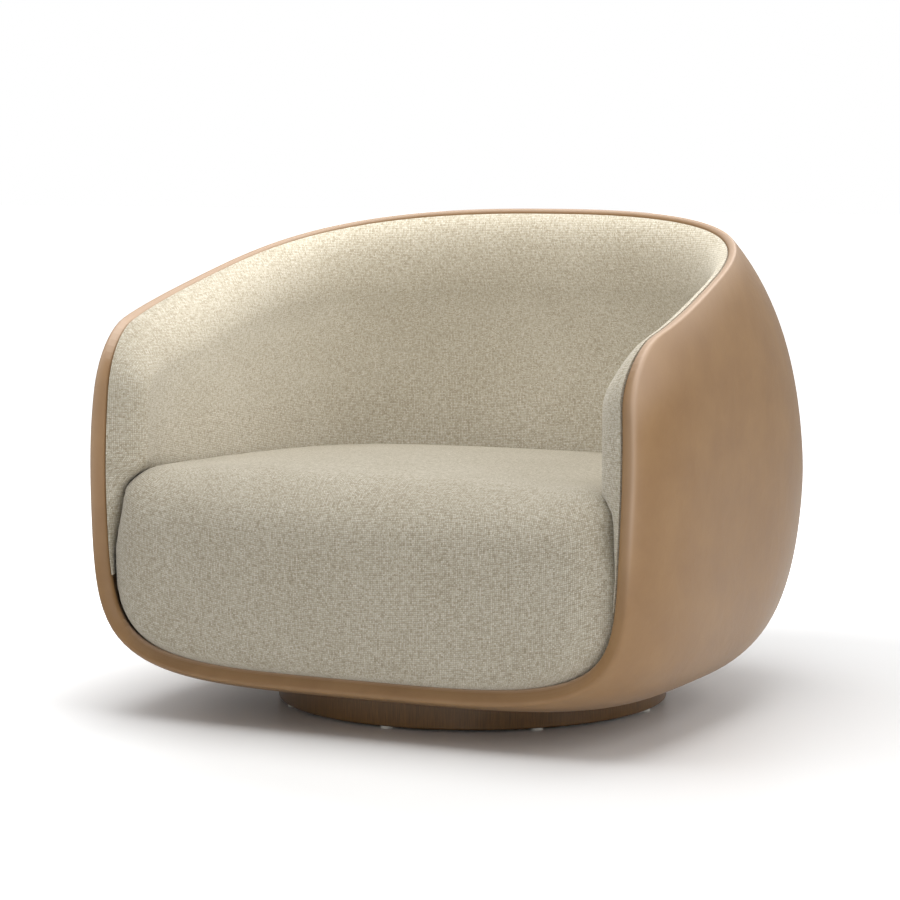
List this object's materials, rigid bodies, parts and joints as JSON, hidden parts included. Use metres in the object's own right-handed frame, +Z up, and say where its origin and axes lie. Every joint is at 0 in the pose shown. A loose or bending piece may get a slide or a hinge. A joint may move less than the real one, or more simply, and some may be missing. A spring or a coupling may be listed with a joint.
{
  "type": "swivel lounge chair",
  "caption": "Low swivel lounge chair: a leather-wrapped egg shell with fabric lining and a thick crowned seat block on a low round plinth with a ball-bearing turntable.",
  "frame": {"origin": "on the floor, under the middle of the chair's bounding box", "axes": "+Z up, the seat's front faces -Y, +X is to the right seen from the front"},
  "size_m": [0.904, 0.8708, 0.716],
  "materials": {
    "plinth_lacquer": "satin dark brown lacquer over fine grain",
    "plywood": "raw plywood",
    "glide_nylon": "pale nylon",
    "zinc_steel": "zinc plated",
    "plate_steel": "black e-coat on pressed steel",
    "cage_brass": "stamped",
    "ball_steel": "polished",
    "moulded_ply": "moulded, unfinished under its covers",
    "tan_leather": "tan, soft sheen, fine grain",
    "foam": "open-cell upholstery foam",
    "greige_weave": "slubby plain weave",
    "frame_wood": "planed beech",
    "webbing": "black elastic webbing",
    "black_cloth": "black non-woven cloth"
  },
  "bodies": {
    "base": {"plinth_ring": "plinth_lacquer", "plinth_deck": "plywood", "floor_glides": "glide_nylon", "glide_nails": "zinc_steel", "lower_swivel_plate": "plate_steel", "lower_plate_screws": "zinc_steel", "pivot_pin": "plate_steel", "pivot_washer": "glide_nylon", "pivot_nut": "zinc_steel"},
    "ball_cage": {"ball_cage": "cage_brass", "bearing_balls": "ball_steel"},
    "seat": {"upper_swivel_plate": "plate_steel", "upper_plate_screws": "zinc_steel", "base_board": "plywood", "shell_core": "moulded_ply", "shell_screws": "zinc_steel", "leather_cover": "tan_leather", "inner_pad": "foam", "inner_lining": "greige_weave", "seat_rail_front": "frame_wood", "seat_rail_rear": "frame_wood", "seat_rail_left": "frame_wood", "seat_rail_right": "frame_wood", "corner_blocks": "frame_wood", "seat_battens": "frame_wood", "seat_bolts": "zinc_steel", "webbing_lengthways": "webbing", "webbing_crossways": "webbing", "seat_foam": "foam", "seat_cover": "greige_weave", "seat_bottom_cloth": "black_cloth"}
  },
  "joints": [
    {"name": "seat_swivel", "type": "hinge", "parent": "base", "child": "seat", "pos_m": [0, -0.0254, 0.05135], "axis": [0, 0, 1], "continuous": true},
    {"name": "cage_roll", "type": "hinge", "parent": "base", "child": "ball_cage", "pos_m": [0, -0.0254, 0.05135], "axis": [0, 0, 1], "continuous": true}
  ],
  "couplings": [
    {"joint": "cage_roll", "follows": "seat_swivel", "ratio": 0.5}
  ]
}
